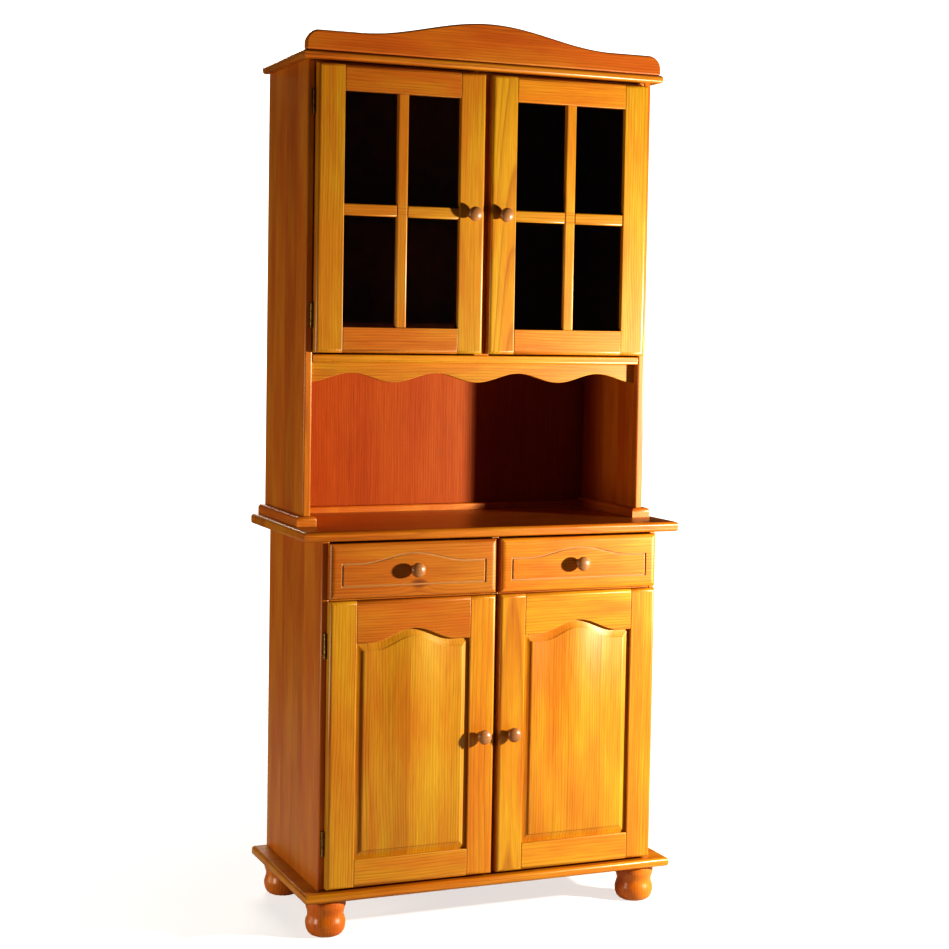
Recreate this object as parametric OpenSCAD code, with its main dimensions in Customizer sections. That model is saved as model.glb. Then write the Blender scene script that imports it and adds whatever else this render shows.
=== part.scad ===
// Pine pantry cabinet: a glazed hutch with an open niche, standing on a buffet
// with two drawers and two panelled doors, on four turned feet.
// Millimetres, +Z up, fronts face -Y, the wall side is +Y.
// Origin: on the floor, at the centre of the footprint box.

/* [Boards] */
// Thickness of side panels, shelves and carcass boards
panel_t = 18; // [15:1:25]
// Thickness of the sheet back panels
back_t = 5; // [3:1:8]
// Depth of the rebate that takes a back panel, into the side panel
back_rebate = 9; // [5:1:12]
// Round on the front edges of the side panels
side_edge_r = 4; // [1:0.5:6]

/* [Feet and base] */
// Height of the turned feet
foot_h = 80; // [60:1:120]
// Radius of a foot at its bulge and collar
foot_r = 43.5; // [30:0.5:60]
// Radius of a foot at its neck
foot_neck_r = 39; // [20:0.5:50]
// Foot centre in from the end of the base board
foot_side_inset = 62; // [50:1:90]
// Foot centre back from the front of the base board
foot_front_inset = 52; // [45:1:90]
// Foot centre forward of the wall side
foot_back_inset = 46; // [45:1:90]
// Thickness of the base board
base_t = 20; // [16:1:30]
// Base board beyond the buffet sides
base_over_side = 36; // [10:1:50]
// Base board in front of the buffet sides
base_over_front = 29; // [25:1:50]

/* [Buffet] */
// Width across the buffet's side panels
buffet_w = 800; // [700:1:1000]
// Depth of the buffet's side panels
buffet_d = 375; // [320:1:450]
// Height of the buffet's side panels
buffet_h = 750; // [650:1:800]
// Thickness of the worktop
worktop_t = 22; // [18:1:30]
// Worktop beyond the buffet sides
worktop_over_side = 46; // [10:1:60]
// Worktop in front of the buffet sides
worktop_over_front = 22; // [0:1:40]

/* [Doors and drawer fronts] */
// Thickness of door frames and drawer fronts
front_t = 22; // [18:1:26]
// Space between the back of a front and the carcass
stand_off = 2.4; // [2.4:0.1:4]
// Edge round on door frames
door_edge_r = 7.5; // [1:0.5:10]
// Small round on the inner edges and joints of a frame
joint_r = 1.5; // [0.5:0.5:3]
// Buffet fronts in from the outside of the side panels
buffet_front_inset = 12.5; // [5:0.5:14]
// Space between the two buffet fronts at the centre
buffet_centre_gap = 11; // [3:1:16]
// Height of a drawer front
drawer_front_h = 118; // [90:1:180]
// Space between the worktop and the drawer fronts
drawer_top_gap = 4; // [2:1:8]
// Space between the drawer fronts and the doors
row_gap = 5; // [3:1:8]
// Space between the base board and the doors
door_base_gap = 6; // [3:1:10]
// Width of door stiles
stile_w = 60; // [45:1:80]
// Width of a lower door's bottom rail
lower_rail_w = 61; // [45:1:90]
// Width of a lower door's top rail at the shoulders of its arch
arch_rail_w = 90; // [70:1:120]
// Rise of the arch above its shoulders
arch_rise = 27; // [0:1:40]
// Half length of the rising part of the arch
arch_half = 100; // [60:1:120]
// Width of the bevel round the raised panel
bevel_w = 17; // [8:1:35]

/* [Drawers] */
// How far a drawer slides out
drawer_travel = 250; // [150:1:280]
// Thickness of drawer sides and back
drawer_board_t = 12; // [9:1:16]
// Height of the drawer sides
drawer_side_h = 85; // [60:1:100]
// Length of the drawer sides
drawer_len = 322; // [250:1:340]
// Thickness of the drawer bottoms
drawer_bottom_t = 4; // [3:0.5:6]
// Routed line in from the edge of a drawer front
groove_inset = 25; // [15:1:35]
// Width of the routed line
groove_w = 3.5; // [1:0.5:5]

/* [Hutch] */
// Width across the hutch's side panels
hutch_w = 826; // [700:1:900]
// Depth of the hutch's side panels
hutch_d = 281; // [220:1:340]
// Height of the hutch's side panels
hutch_h = 977; // [800:1:1200]
// Height of the base rails under the hutch sides
hutch_rail_h = 22; // [15:1:40]
// Width of the base rails under the hutch sides
hutch_rail_w = 45; // [30:1:60]
// Base rails beyond the outside of the hutch sides
hutch_rail_over = 16; // [0:1:25]
// Height of the top of the ledge above the worktop
ledge_z = 372; // [300:1:450]
// Apron set back from the hutch's front
apron_recess = 20; // [5:1:40]
// Height of the apron at its low points
apron_low = 43.5; // [30:1:80]
// Height of the apron's scallops
scallop_h = 20.5; // [5:0.5:30]
// Length of one scallop
scallop_pitch = 200; // [100:1:400]
// Hutch doors in from the outside of the side panels
hutch_front_inset = 17; // [8:0.5:17]
// Space between the two hutch doors at the centre
hutch_centre_gap = 16; // [3:1:20]
// Height of a hutch door
hutch_door_h = 616; // [500:1:800]
// Width of the rails of a hutch door
hutch_rail_face = 56; // [40:1:80]
// Width of the glazing bars
bar_w = 26; // [15:1:35]
// Thickness of the glass
glass_t = 3; // [2:0.5:5]

/* [Cornice and crest] */
// Thickness of the cornice board
cornice_t = 17; // [15:1:30]
// Cornice beyond the hutch sides
cornice_over_side = 17; // [5:1:40]
// Cornice in front of the hutch sides
cornice_over_front = 28; // [28:0.5:50]
// Height of the crest at its ends
crest_end_h = 43.5; // [20:0.5:60]
// Rise of the crest's centre above its ends
crest_rise = 41; // [10:1:80]
// Half length of the crest's rising part
crest_half = 302; // [150:1:380]
// Radius of the crest's top corners
crest_corner_r = 30; // [10:1:40]

/* [Knobs and hinges] */
// Radius of a knob
knob_r = 16; // [12:0.5:20]
// How far a knob stands out
knob_len = 28; // [20:1:35]
// Height of a lower door knob above the floor
lower_knob_z = 415; // [300:1:600]
// Height of a hinge
hinge_h = 54; // [40:1:80]
// Radius of a hinge knuckle
knuckle_r = 3; // [2:0.1:4]
// Radius of a hinge pin
hinge_pin_r = 1.5; // [1:0.1:2]
// Running clearance round a hinge pin
pin_gap = 0.05; // [0.01:0.01:0.1]
// Hinge centre in from the ends of a hutch door
hutch_hinge_in = 80; // [60:1:150]
// Hinge centre in from the ends of a buffet door
buffet_hinge_in = 96; // [60:1:150]

/* [Hidden] */
// Every named piece of the cabinet.
// The piece to draw, or all of them.
// Facets of round pieces and of small edge rounds.
round_fn = 96;
edge_fn = 32;
// A cut runs past a face by this much.
cut = 1;
// Slack between a piece and the seat it drops into.
seat_gap = 0.2;
// Colours.
pine = [0.86, 0.56, 0.17];
pine_deep = [0.78, 0.43, 0.12];
pine_pale = [0.88, 0.68, 0.42];
sheet = [0.72, 0.42, 0.16];
brass = [0.55, 0.42, 0.2];
steel = [0.6, 0.6, 0.62];
glass_tint = [0.25, 0.28, 0.27, 0.5];

// Depth positions, from the wall side forward.
total_depth = buffet_d + stand_off + front_t + knob_len;
y_wall = total_depth / 2;
y_buffet = y_wall - buffet_d;
y_hutch = y_wall - hutch_d;
y_sheet = y_wall - back_t;
// Height positions.
z_base = foot_h;
z_buffet = z_base + base_t;
z_worktop = z_buffet + buffet_h;
z_deck = z_worktop + worktop_t;
z_hutch = z_deck + hutch_rail_h;
z_cornice = z_hutch + hutch_h;
z_crest = z_cornice + cornice_t;
z_ledge = z_deck + ledge_z;
// Half widths.
buffet_x = buffet_w / 2;
buffet_in_x = buffet_x - panel_t;
hutch_x = hutch_w / 2;
hutch_in_x = hutch_x - panel_t;
base_x = buffet_x + base_over_side;
worktop_x = buffet_x + worktop_over_side;
cornice_x = hutch_x + cornice_over_side;
// Round on the noses of the base board, worktop and cornice.
nose_r = 7;
cornice_nose_r = 6;
// Feet: spigot that plugs into the base board.
spigot_r = 10;
spigot_h = 14;
spigot_gap = 0.1;
foot_x = base_x - foot_side_inset;
foot_front_y = y_buffet - base_over_front + foot_front_inset;
foot_back_y = y_wall - foot_back_inset;
foot_sole_r = 28;
foot_top_r = 40;
bulge_z = 26;
collar_z = 66;
foot_steps = 8;
// Buffet fronts, from the centre outward.
front_in_x = buffet_centre_gap / 2;
front_out_x = buffet_x - buffet_front_inset;
front_w = front_out_x - front_in_x;
z_drawer_top = z_worktop - drawer_top_gap;
z_drawer = z_drawer_top - drawer_front_h;
z_door = z_buffet + door_base_gap;
z_door_top = z_drawer - row_gap;
lower_door_h = z_door_top - z_door;
y_front_back = y_buffet - stand_off;
y_front = y_front_back - front_t;
// Hutch doors.
hutch_front_in_x = hutch_centre_gap / 2;
hutch_front_out_x = hutch_x - hutch_front_inset;
z_hutch_door = z_ledge + 3;
y_hutch_back = y_hutch - stand_off;
y_hutch_front = y_hutch_back - front_t;
// Joints inside a door frame.
tenon_t = 7;
tenon_l = 24;
tenon_edge = 9;
tenon_front = 5;
// Raised panel and its groove.
groove_d = 9;
panel_edge_t = 6;
panel_tongue = 7.5;
panel_play = 0.6;
panel_back_y = y_front_back - 7.4;
panel_edge_y = panel_back_y - panel_edge_t;
field_y = y_front + 1.5;
arch_steps = 40;
panel_steps = 12;
// Glass and its groove.
glass_groove_d = 8;
glass_lap = 7;
glass_y = y_hutch_back - 7;
bar_recess = 2;
bar_r = 4;
// Drawer rails, runners and boxes.
drawer_rail_d = 45;
rail_top_z = (z_door_top + z_drawer) / 2 + panel_t / 2 - 2;
runner_w = 18;
runner_len = buffet_d - drawer_rail_d - back_t - 5;
drawer_play = 2;
drawer_lift = 0.3;
box_out_x = buffet_in_x - drawer_play;
box_in_x = panel_t / 2 + drawer_play;
box_z = rail_top_z + drawer_lift;
bottom_groove = 5;
bottom_z = box_z + 9;
drawer_edge_w = 12;
drawer_edge_d = 7;
line_depth = 1.8;
line_top_in = 42;
line_rise = 20;
line_half = 125;
// Shelves.
lower_shelf_z = z_buffet + 292;
shelf_back_gap = 3;
shelf_front_in = 20;
shelf_play = 1;
upper_shelf_z = z_hutch_door + hutch_door_h / 2 - panel_t / 2;
pin_r = 2.5;
pin_len = 16;
pin_in = 8;
pin_y_in = 45;
// Hutch post, crest and catches.
post_w = 36;
crest_back = 3.5;
crest_in = 5;
catch_l = 30;
catch_d = 16;
catch_h = 12;
catch_x = 30;
// Hinges.
leaf_t = 1;
axis_out = 4;
axis_front = 4.3;
leaf_fixed_w = 10;
leaf_door_w = 17;
knuckle_gap = 0.3;
knuckle_h = (hinge_h - 2 * knuckle_gap) / 3;
hutch_axis_x = hutch_front_out_x + axis_out;
buffet_axis_x = front_out_x + axis_out;
// Knobs: dowel, neck and cap.
knob_dowel_r = 4;
knob_dowel_l = 14;
knob_neck_r = 7.5;
knob_foot_r = 10;
knob_foot_t = 3;
knob_cap_z = 18;
knob_steps = 24;

// A box from one corner to the opposite one.
module span(low, high) {
    translate(low) cube(high - low);
}

// A flat rectangle with its four corners rounded.
module round_rect(low, high, r) {
    translate([low[0] + r, low[1]]) square([high[0] - low[0] - 2 * r, high[1] - low[1]]);
    translate([low[0], low[1] + r]) square([high[0] - low[0], high[1] - low[1] - 2 * r]);
    for (x = [low[0] + r, high[0] - r], y = [low[1] + r, high[1] - r])
        translate([x, y]) circle(r, $fn = edge_fn);
}

// A flat rectangle with only its two low-y corners rounded.
module front_round(x0, x1, y0, y1, r) {
    round_rect([x0, y0], [x1, y1], r);
    translate([x0, y0 + r]) square([x1 - x0, y1 - y0 - r]);
}

// An outline in X and Y raised from z0 to z1.
module rise(z0, z1) {
    translate([0, 0, z0]) linear_extrude(z1 - z0) children();
}

// An outline in Y and Z drawn out from x0 to x1.
module along_x(x0, x1) {
    translate([x0, 0, 0]) rotate([90, 0, 90]) linear_extrude(x1 - x0) children();
}

// An outline in X and Z drawn back from y0 to y1.
module along_y(y0, y1) {
    translate([0, y1, 0]) rotate([90, 0, 0]) linear_extrude(y1 - y0) children();
}

// A board with rounded noses along its front and both ends, mitred at the corners.
module nosed_board(half, y0, y1, z0, z1, r) {
    intersection() {
        along_y(y0, y1) round_rect([-half, z0], [half, z1], r);
        along_x(-half, half) {
            round_rect([y0, z0], [y1, z1], r);
            translate([y1 - 2 * r, z0]) square([2 * r, z1 - z0]);
        }
    }
}

// A slab whose front edges are rounded all round, for a door or its members.
module front_slab(x0, x1, y0, y1, z0, z1, r) {
    intersection() {
        rise(z0, z1) front_round(x0, x1, y0, y1, r);
        along_x(x0, x1) {
            round_rect([y0, z0], [y1, z1], r);
            translate([y0 + r, z0]) square([y1 - y0 - r, z1 - z0]);
        }
    }
}

// The smooth bump used by the arch, the crest and the routed line.
function bump(x, half) = abs(x) < half ? (1 + cos(180 * x / half)) / 2 : 0;

// ---------- Base and feet ----------

// Outline of a foot from the floor up, [radius, height]: bulge, waist and collar.
function foot_line() = concat(
    [for (i = [0 : foot_steps]) let (a = 90 * i / foot_steps)
        [foot_sole_r + (foot_r - foot_sole_r) * sin(a), bulge_z * (1 - cos(a))]],
    [for (i = [1 : 2 * foot_steps]) let (t = i / foot_steps / 2)
        [foot_neck_r + (foot_r - foot_neck_r) * (1 + cos(360 * t)) / 2,
         bulge_z + (collar_z - bulge_z) * t]],
    [for (i = [1 : foot_steps]) let (a = 90 * i / foot_steps)
        [foot_top_r + (foot_r - foot_top_r) * cos(a), collar_z + (foot_h - collar_z) * sin(a)]]);

module foot_profile() {
    polygon(concat(
        [[0, 0]], foot_line(),
        [[spigot_r, foot_h], [spigot_r, foot_h + spigot_h], [0, foot_h + spigot_h]]));
}

module at_feet() {
    for (x = [-foot_x, foot_x], y = [foot_front_y, foot_back_y])
        translate([x, y, 0]) children();
}

module bun_feet() {
    color(pine_deep) at_feet() rotate_extrude($fn = round_fn) foot_profile();
}

module base_board() {
    color(pine) difference() {
        nosed_board(base_x, y_buffet - base_over_front, y_wall, z_base, z_buffet, nose_r);
        at_feet() translate([0, 0, z_base - cut])
            cylinder(h = spigot_h + cut + seat_gap, r = spigot_r + spigot_gap, $fn = round_fn);
    }
}

// ---------- Buffet ----------

// Pin holes across X through one board face.
module pin_holes(xs, ys, z, len) {
    for (x = xs, y = ys)
        translate([x - len / 2, y, z]) rotate([0, 90, 0])
            cylinder(h = len, r = pin_r + pin_gap, $fn = edge_fn);
}

lower_pin_ys = [y_buffet + shelf_front_in + pin_y_in, y_sheet - pin_y_in];
upper_pin_ys = [y_hutch + shelf_front_in + pin_y_in, y_sheet - pin_y_in];
lower_pin_z = lower_shelf_z - pin_r - pin_gap;
upper_pin_z = upper_shelf_z - pin_r - pin_gap;
lower_pin_xs = [buffet_in_x, panel_t / 2];

// Left side panel of a carcass, with its back rebate.
module side_panel(out_x, y0, z0, z1) {
    difference() {
        rise(z0, z1) front_round(-out_x, -out_x + panel_t, y0, y_wall, side_edge_r);
        span([-out_x + panel_t - back_rebate, y_sheet, z0 - cut],
             [-out_x + panel_t + cut, y_wall + cut, z1 + cut]);
    }
}

module lower_left_side() {
    color(pine_deep) difference() {
        side_panel(buffet_x, y_buffet, z_buffet, z_worktop);
        pin_holes([-buffet_in_x], lower_pin_ys, lower_pin_z, 2 * pin_in);
    }
}

module lower_right_side() {
    color(pine_deep) mirror([1, 0, 0]) difference() {
        side_panel(buffet_x, y_buffet, z_buffet, z_worktop);
        pin_holes([-buffet_in_x], lower_pin_ys, lower_pin_z, 2 * pin_in);
    }
}

module lower_back_panel() {
    half = buffet_in_x + back_rebate - seat_gap;
    color(sheet) span([-half, y_sheet, z_buffet], [half, y_wall, z_worktop]);
}

module lower_divider() {
    half = panel_t / 2;
    color(pine_deep) difference() {
        rise(z_buffet, z_worktop) front_round(-half, half, y_buffet, y_sheet, 2);
        pin_holes([-half, half], lower_pin_ys, lower_pin_z, 2 * (pin_in - 1));
    }
}

module drawer_rails() {
    color(pine_deep) for (s = [0, 1]) mirror([s, 0, 0])
        along_x(-buffet_in_x, -panel_t / 2)
            round_rect([y_buffet, rail_top_z - panel_t], [y_buffet + drawer_rail_d, rail_top_z], 1);
}

module drawer_runners() {
    y0 = y_buffet + drawer_rail_d;
    z0 = rail_top_z - panel_t;
    color(pine_pale) for (s = [0, 1]) mirror([s, 0, 0]) {
        span([-buffet_in_x, y0, z0], [-buffet_in_x + runner_w, y0 + runner_len, rail_top_z]);
        span([-panel_t / 2 - runner_w, y0, z0], [-panel_t / 2, y0 + runner_len, rail_top_z]);
    }
}

module lower_shelves() {
    y0 = y_buffet + shelf_front_in;
    color(pine_pale) for (s = [0, 1]) mirror([s, 0, 0])
        along_x(-buffet_in_x + shelf_play, -panel_t / 2 - shelf_play)
            round_rect([y0, lower_shelf_z], [y_sheet - shelf_back_gap, lower_shelf_z + panel_t], 2);
}

// One shelf pin, its head end at the origin, pointing along +X.
module shelf_pin(len) {
    rotate([0, 90, 0]) cylinder(h = len, r = pin_r, $fn = edge_fn);
}

module shelf_pins() {
    inner = pin_in - 1 - seat_gap;
    color(steel) {
        for (s = [0, 1], y = lower_pin_ys) mirror([s, 0, 0]) {
            translate([-buffet_in_x - pin_in + seat_gap, y, lower_pin_z]) shelf_pin(pin_len);
            translate([-panel_t / 2 + inner - pin_len, y, lower_pin_z]) shelf_pin(pin_len);
        }
        for (s = [0, 1], y = upper_pin_ys) mirror([s, 0, 0])
            translate([-hutch_in_x - pin_in + seat_gap, y, upper_pin_z]) shelf_pin(pin_len);
    }
}

module worktop() {
    color(pine) nosed_board(worktop_x, y_buffet - worktop_over_front, y_wall,
                            z_worktop, z_deck, nose_r);
}

// ---------- Hutch ----------

rail_in_x = hutch_x + hutch_rail_over - hutch_rail_w;
rail_front_y = y_hutch - 8;
rail_nose_r = 8;
back_rail_h = 15;
back_rail_d = 20;

// Side rails with rounded noses on top, and the back rail between them.
module hutch_base_rails() {
    color(pine) {
        for (s = [0, 1]) mirror([s, 0, 0]) intersection() {
            along_y(rail_front_y, y_wall) {
                round_rect([-rail_in_x - hutch_rail_w, z_deck], [-rail_in_x, z_hutch], rail_nose_r);
                translate([-rail_in_x - hutch_rail_w, z_deck])
                    square([hutch_rail_w, hutch_rail_h - rail_nose_r]);
            }
            along_x(-rail_in_x - hutch_rail_w, -rail_in_x) {
                round_rect([rail_front_y, z_deck], [y_wall, z_hutch], rail_nose_r);
                translate([rail_front_y, z_deck])
                    square([hutch_d, hutch_rail_h - rail_nose_r]);
                translate([y_wall - 2 * rail_nose_r, z_deck]) square([2 * rail_nose_r, hutch_rail_h]);
            }
        }
        for (s = [0, 1]) mirror([s, 0, 0])
            span([-rail_in_x - 2 * rail_nose_r, y_sheet, z_deck], [-rail_in_x, y_wall, z_hutch]);
        along_x(-rail_in_x + seat_gap, rail_in_x - seat_gap) {
            round_rect([y_sheet - back_rail_d, z_deck], [y_sheet, z_deck + back_rail_h], 4);
            translate([y_sheet - back_rail_d, z_deck]) square([back_rail_d, back_rail_h / 2]);
        }
    }
}

module hutch_side() {
    difference() {
        side_panel(hutch_x, y_hutch, z_hutch, z_cornice);
        pin_holes([-hutch_in_x], upper_pin_ys, upper_pin_z, 2 * pin_in);
    }
}

module upper_left_side() {
    color(pine_deep) hutch_side();
}

module upper_right_side() {
    color(pine_deep) mirror([1, 0, 0]) hutch_side();
}

module upper_back_panel() {
    half = hutch_in_x + back_rebate - seat_gap;
    low_half = rail_in_x - seat_gap;
    color(sheet) along_y(y_sheet, y_wall) {
        translate([-half, z_hutch]) square([2 * half, hutch_h]);
        translate([-low_half, z_deck]) square([2 * low_half, hutch_rail_h + cut]);
    }
}

module ledge_board() {
    color(pine) along_x(-hutch_in_x, hutch_in_x) {
        round_rect([y_hutch, z_ledge - panel_t], [y_sheet, z_ledge], side_edge_r);
        translate([y_sheet - panel_t, z_ledge - panel_t]) square([panel_t, panel_t]);
    }
}

apron_y = y_hutch + apron_recess;
apron_top_z = z_ledge - panel_t;
function scallop(x) = apron_top_z - apron_low
    + scallop_h * (1 - cos(360 * x / scallop_pitch)) / 2;

module apron() {
    step = hutch_in_x / arch_steps;
    lower = [for (i = [-arch_steps : arch_steps]) [i * step, scallop(i * step)]];
    color(pine) along_y(apron_y, apron_y + panel_t)
        polygon(concat(lower, [[hutch_in_x, apron_top_z], [-hutch_in_x, apron_top_z]]));
}

module upper_shelf() {
    half = hutch_in_x - shelf_play;
    color(pine_pale) along_x(-half, half)
        round_rect([y_hutch + shelf_front_in, upper_shelf_z],
                   [y_sheet - shelf_back_gap, upper_shelf_z + panel_t], 2);
}

module upper_post() {
    color(pine_deep) rise(z_ledge, z_cornice - panel_t)
        front_round(-post_w / 2, post_w / 2, y_hutch, y_hutch + panel_t, 2);
}

module hutch_top_board() {
    color(pine_deep) span([-hutch_in_x, y_hutch, z_cornice - panel_t],
                          [hutch_in_x, y_sheet, z_cornice]);
}

module cornice() {
    color(pine) nosed_board(cornice_x, y_hutch - cornice_over_front, y_wall,
                            z_cornice, z_crest, cornice_nose_r);
}

crest_x = cornice_x - crest_in;
crest_y = y_hutch - cornice_over_front + crest_back;

// Top edge of the crest: rounded ends, low shoulders and a rising centre.
function crest_top(x) = z_crest + crest_end_h + crest_rise * bump(x, crest_half);

module crest() {
    flat = crest_x - crest_corner_r;
    step = flat / arch_steps;
    left_end = [for (a = [180 : -6 : 96])
        [-flat + crest_corner_r * cos(a), crest_top(flat) - crest_corner_r * (1 - sin(a))]];
    middle = [for (i = [-arch_steps : arch_steps]) [i * step, crest_top(i * step)]];
    right_end = [for (a = [84 : -6 : 0])
        [flat + crest_corner_r * cos(a), crest_top(flat) - crest_corner_r * (1 - sin(a))]];
    color(pine) along_y(crest_y, crest_y + panel_t)
        polygon(concat([[-crest_x, z_crest]], left_end, middle, right_end, [[crest_x, z_crest]]));
}

// ---------- Hinges, catches and knobs ----------

// Ring of one hinge knuckle, from z0 up.
module knuckle(z0, bore) {
    translate([0, 0, z0]) difference() {
        cylinder(h = knuckle_h, r = knuckle_r, $fn = round_fn);
        translate([0, 0, -cut]) cylinder(h = knuckle_h + 2 * cut, r = bore, $fn = round_fn);
    }
}

// Carcass half of a left-hand hinge; its axis is the origin's Z.
module fixed_leaf() {
    upper_z = 2 * (knuckle_h + knuckle_gap);
    translate([0, 0, -hinge_h / 2]) {
        cylinder(h = hinge_h, r = hinge_pin_r, $fn = round_fn);
        for (z = [0, upper_z]) {
            translate([0, 0, z]) cylinder(h = knuckle_h, r = knuckle_r, $fn = round_fn);
            span([-1.5, 2, z], [1.5, axis_front, z + knuckle_h]);
        }
        span([-axis_out, axis_front - leaf_t, 0],
             [leaf_fixed_w - axis_out, axis_front, hinge_h]);
    }
}

// Door half of a left-hand hinge; its axis is the origin's Z.
module door_leaf() {
    mid_z = knuckle_h + knuckle_gap;
    leaf_y = axis_front - stand_off;
    translate([0, 0, -hinge_h / 2]) {
        difference() {
            union() {
                translate([0, 0, mid_z]) cylinder(h = knuckle_h, r = knuckle_r, $fn = round_fn);
                span([0, leaf_y, mid_z], [axis_out + cut, leaf_y + leaf_t, mid_z + knuckle_h]);
            }
            translate([0, 0, -cut])
                cylinder(h = hinge_h + 2 * cut, r = hinge_pin_r + pin_gap, $fn = round_fn);
        }
        span([axis_out, leaf_y, 0], [axis_out + leaf_door_w, leaf_y + leaf_t, hinge_h]);
    }
}

hutch_hinge_zs = [z_hutch_door + hutch_hinge_in, z_hutch_door + hutch_door_h - hutch_hinge_in];
buffet_hinge_zs = [z_door + buffet_hinge_in, z_door_top - buffet_hinge_in];

module at_hutch_hinges() {
    for (z = hutch_hinge_zs) translate([-hutch_axis_x, y_hutch - axis_front, z]) children();
}

module at_buffet_hinges() {
    for (z = buffet_hinge_zs) translate([-buffet_axis_x, y_buffet - axis_front, z]) children();
}

module hinge_fixed_leaves() {
    color(brass) for (s = [0, 1]) mirror([s, 0, 0]) {
        at_hutch_hinges() fixed_leaf();
        at_buffet_hinges() fixed_leaf();
    }
}

module door_catches() {
    color(pine_pale) for (s = [0, 1]) mirror([s, 0, 0]) {
        span([-catch_x - catch_l, y_hutch, z_cornice - panel_t - catch_h],
             [-catch_x, y_hutch + catch_d, z_cornice - panel_t]);
        span([-catch_x - catch_l, y_buffet, rail_top_z - panel_t - catch_h],
             [-catch_x, y_buffet + catch_d, rail_top_z - panel_t]);
    }
}

// Half outline of a knob: dowel below zero, then foot, neck and domed cap.
module knob_profile() {
    half = knob_len - knob_cap_z;
    under = knob_cap_z - 8;
    crown = [for (i = [0 : knob_steps])
        [knob_r * cos(90 * i / knob_steps), knob_cap_z + half * sin(90 * i / knob_steps)]];
    below = [for (i = [0 : knob_steps])
        [knob_neck_r + (knob_r - knob_neck_r) * sin(90 * i / knob_steps),
         knob_cap_z - (knob_cap_z - under) * cos(90 * i / knob_steps)]];
    polygon(concat(
        [[0, -knob_dowel_l], [knob_dowel_r, -knob_dowel_l], [knob_dowel_r, 0],
         [knob_foot_r, 0], [knob_foot_r, knob_foot_t * 0.6], [knob_neck_r, knob_foot_t]],
        below, crown));
}

// A knob on a front face, pointing to -Y.
module knob(x, y, z) {
    color(pine_pale) translate([x, y, z]) rotate([90, 0, 0])
        rotate_extrude($fn = round_fn) knob_profile();
}

// Hole that takes a knob's dowel.
module knob_hole(x, y, z) {
    translate([x, y + knob_dowel_l + seat_gap, z]) rotate([90, 0, 0])
        cylinder(h = knob_dowel_l + seat_gap + cut, r = knob_dowel_r + pin_gap, $fn = round_fn);
}

// ---------- Door frames ----------

// A left door's outer shape, with all its front edges rounded.
module door_shape(x0, x1, y0, z0, z1) {
    front_slab(-x1, -x0, y0, y0 + front_t, z0, z1, door_edge_r);
}

// A stile, cut from the door shape, with eased edges.
module stile(x0, x1, door_x0, door_x1, y0, z0, z1) {
    intersection() {
        door_shape(door_x0, door_x1, y0, z0, z1);
        rise(z0, z1) front_round(-x1, -x0, y0, y0 + front_t, joint_r);
    }
}

// A rail between two stiles, without its tenons.
module rail_body(x0, x1, door_x0, door_x1, y0, z0, z1, door_z0, door_z1) {
    intersection() {
        door_shape(door_x0, door_x1, y0, door_z0, door_z1);
        front_slab(-x1, -x0, y0, y0 + front_t, z0, z1, joint_r);
    }
}

// Tenons on both ends of a rail, or with slack the mortises they fit.
module tenons(x0, x1, y0, z0, z1, slack) {
    for (x = [-x1 - tenon_l - slack, -x0 - cut])
        span([x, y0 + tenon_front - slack, z0 + tenon_edge - slack],
             [x + tenon_l + cut + slack, y0 + tenon_front + tenon_t + slack,
              z1 - tenon_edge + slack]);
}

// ---------- Hutch doors ----------

glaze_x0 = hutch_front_in_x + stile_w;
glaze_x1 = hutch_front_out_x - stile_w;
glaze_z0 = z_hutch_door + hutch_rail_face;
glaze_z1 = z_hutch_door + hutch_door_h - hutch_rail_face;
hutch_door_top = z_hutch_door + hutch_door_h;
glaze_mid_x = (glaze_x0 + glaze_x1) / 2;
glaze_mid_z = (glaze_z0 + glaze_z1) / 2;
bar_front_y = y_hutch_front + bar_recess;
bar_back_y = glass_y - glass_t - seat_gap;
hutch_knob_x = -hutch_front_in_x - stile_w / 2;

// Groove that holds the glass, all round the opening.
module glass_groove() {
    span([-glaze_x1 - glass_groove_d, glass_y - glass_t - seat_gap, glaze_z0 - glass_groove_d],
         [-glaze_x0 + glass_groove_d, glass_y + seat_gap, glaze_z1 + glass_groove_d]);
}

module hutch_mortises() {
    tenons(glaze_x0, glaze_x1, y_hutch_front, z_hutch_door, glaze_z0, seat_gap);
    tenons(glaze_x0, glaze_x1, y_hutch_front, glaze_z1, hutch_door_top, seat_gap);
}

module hutch_stiles() {
    color(pine) difference() {
        for (x = [[hutch_front_in_x, glaze_x0], [glaze_x1, hutch_front_out_x]])
            stile(x[0], x[1], hutch_front_in_x, hutch_front_out_x,
                  y_hutch_front, z_hutch_door, hutch_door_top);
        glass_groove();
        hutch_mortises();
        knob_hole(hutch_knob_x, y_hutch_front, glaze_mid_z);
    }
}

module hutch_door_rail(z0, z1) {
    rail_body(glaze_x0, glaze_x1, hutch_front_in_x, hutch_front_out_x,
              y_hutch_front, z0, z1, z_hutch_door, hutch_door_top);
    tenons(glaze_x0, glaze_x1, y_hutch_front, z0, z1, 0);
}

module hutch_rails() {
    color(pine) difference() {
        union() {
            hutch_door_rail(z_hutch_door, glaze_z0);
            hutch_door_rail(glaze_z1, hutch_door_top);
        }
        intersection() {
            glass_groove();
            span([-glaze_x1 - cut, y_hutch_front, z_hutch_door],
                 [-glaze_x0 + cut, y_hutch_back, hutch_door_top]);
        }
    }
}

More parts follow.
